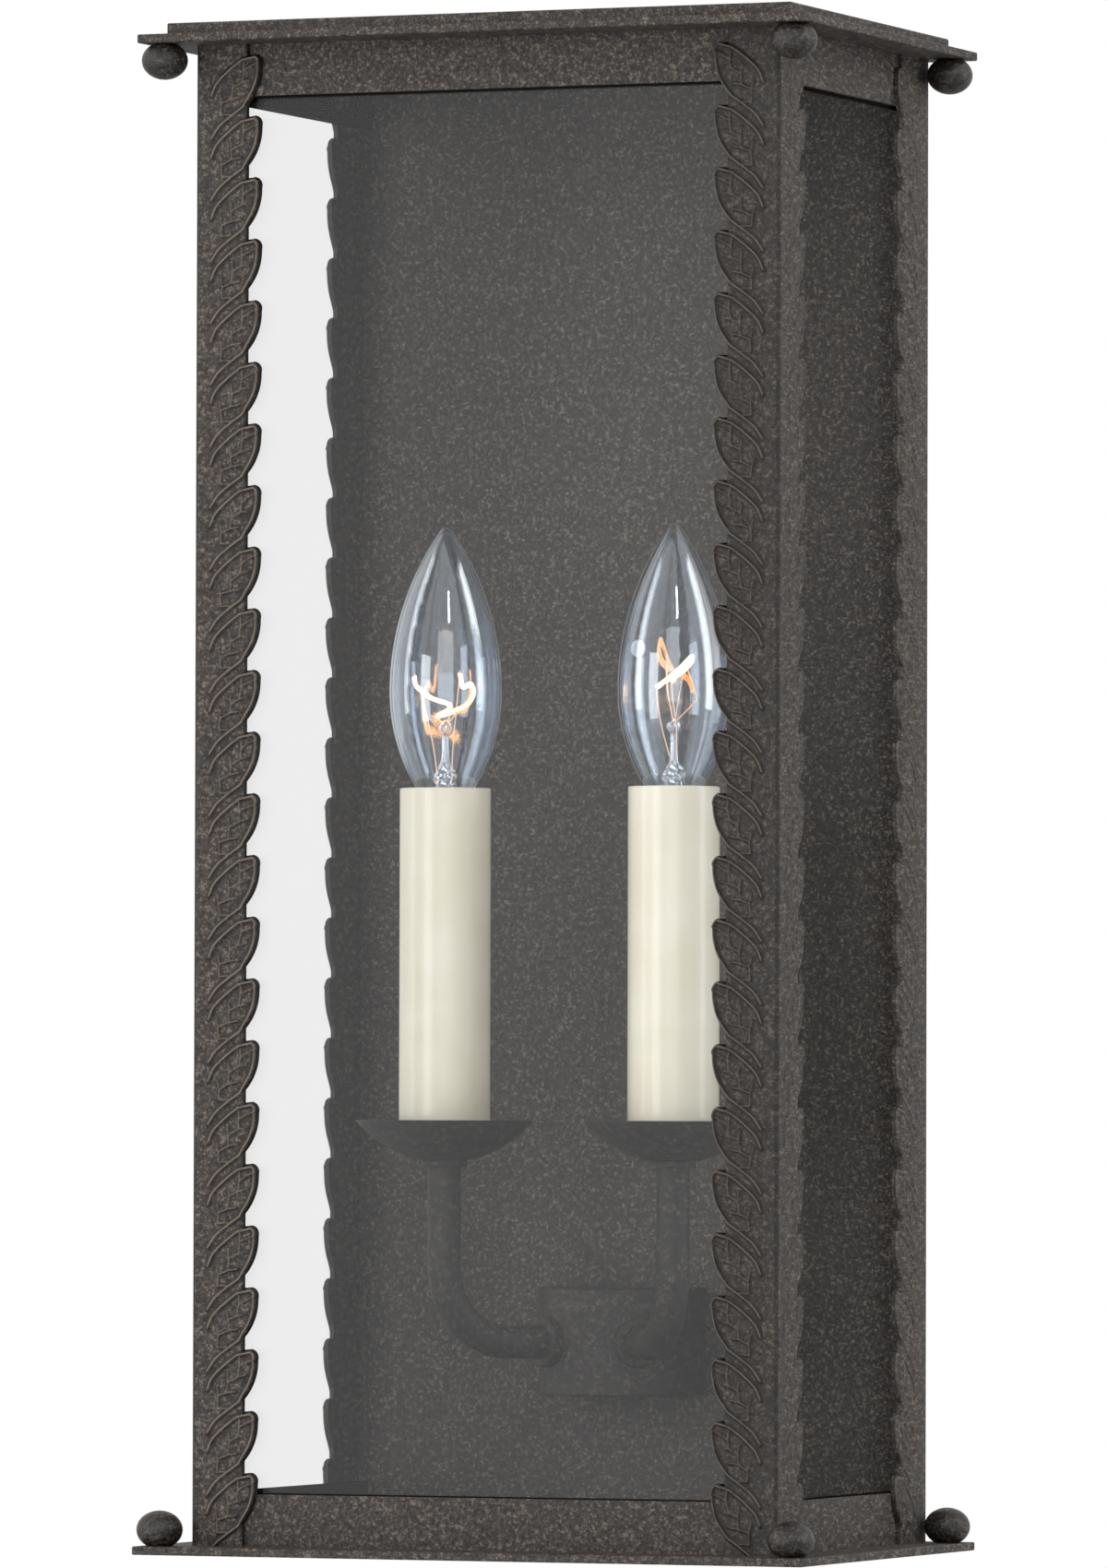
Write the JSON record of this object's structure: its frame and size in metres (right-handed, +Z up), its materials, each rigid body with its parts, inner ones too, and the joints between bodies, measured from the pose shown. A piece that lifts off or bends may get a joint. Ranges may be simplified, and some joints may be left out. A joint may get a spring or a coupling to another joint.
{
  "type": "outdoor wall sconce",
  "caption": "Flat-roofed wall lantern of textured iron with leaf-edged corner posts, clear glass on three sides, ball finials and a pair of candle lamps on bent arms.",
  "frame": {"origin": "on the wall plane, on the lantern's middle line at half its clear height", "axes": "+Z up, +Y into the wall, +X to the viewer's right"},
  "size_m": [0.2038, 0.138, 0.4326],
  "materials": {
    "textured_iron": "speckled brown-black iron, matt",
    "pane_glass": "clear sheet glass",
    "bulb_glass": "clear blown glass",
    "filament": "glowing wire",
    "brass": "drawn, bright",
    "phenolic": "moulded",
    "sleeve_ivory": "smooth ivory, satin",
    "rubber_seal": "closed-cell foam and rubber",
    "lead_insulation": "insulated wire",
    "zinc_steel": "zinc plated"
  },
  "bodies": {
    "lantern": {"arm_collar_left": "textured_iron", "arm_collar_right": "textured_iron", "arm_left": "textured_iron", "arm_nuts": "zinc_steel", "arm_right": "textured_iron", "back_panel": "textured_iron", "base_balls": "textured_iron", "base_plate": "textured_iron", "check_ring_left": "textured_iron", "check_ring_right": "textured_iron", "drip_pan_left": "textured_iron", "drip_pan_right": "textured_iron", "glass_clips": "textured_iron", "glass_front": "pane_glass", "glass_left": "pane_glass", "glass_right": "pane_glass", "hub_screws": "zinc_steel", "hub_shell": "textured_iron", "lead_grommet": "rubber_seal", "lead_left": "lead_insulation", "lead_right": "lead_insulation", "post_back_left": "textured_iron", "post_back_right": "textured_iron", "post_front_left": "textured_iron", "post_front_right": "textured_iron", "rail_bottom_front": "textured_iron", "rail_bottom_left": "textured_iron", "rail_bottom_right": "textured_iron", "rail_top_front": "textured_iron", "rail_top_left": "textured_iron", "rail_top_right": "textured_iron", "socket_body_left": "phenolic", "socket_body_right": "phenolic", "socket_bracket_left": "zinc_steel", "socket_bracket_right": "zinc_steel", "socket_contact_left": "brass", "socket_contact_right": "brass", "socket_shell_left": "brass", "socket_shell_right": "brass", "wall_gasket": "rubber_seal"},
    "roof": {"roof_plate": "textured_iron", "roof_step": "textured_iron", "roof_lugs": "textured_iron", "roof_balls": "textured_iron"},
    "sleeve_left": {"candle_sleeve_left": "sleeve_ivory"},
    "bulb_left": {"bulb_base_left": "brass", "bulb_glass_left": "bulb_glass", "bulb_stem_left": "bulb_glass", "bulb_filament_left": "filament"},
    "sleeve_right": {"candle_sleeve_right": "sleeve_ivory"},
    "bulb_right": {"bulb_base_right": "brass", "bulb_glass_right": "bulb_glass", "bulb_stem_right": "bulb_glass", "bulb_filament_right": "filament"}
  },
  "joints": [
    {"name": "roof_lift", "type": "slide", "parent": "lantern", "child": "roof", "axis": [0, 0, 1], "range_m": [0, 0.12]},
    {"name": "bulb_left_turn", "type": "hinge", "parent": "lantern", "child": "bulb_left", "pos_m": [-0.0351, -0.06846, 0], "axis": [0, 0, 1], "continuous": true},
    {"name": "sleeve_left_lift", "type": "slide", "parent": "lantern", "child": "sleeve_left", "axis": [0, 0, 1], "range_m": [0, 0.004]},
    {"name": "bulb_right_turn", "type": "hinge", "parent": "lantern", "child": "bulb_right", "pos_m": [0.0351, -0.06846, 0], "axis": [0, 0, 1], "continuous": true},
    {"name": "sleeve_right_lift", "type": "slide", "parent": "lantern", "child": "sleeve_right", "axis": [0, 0, 1], "range_m": [0, 0.004]}
  ]
}
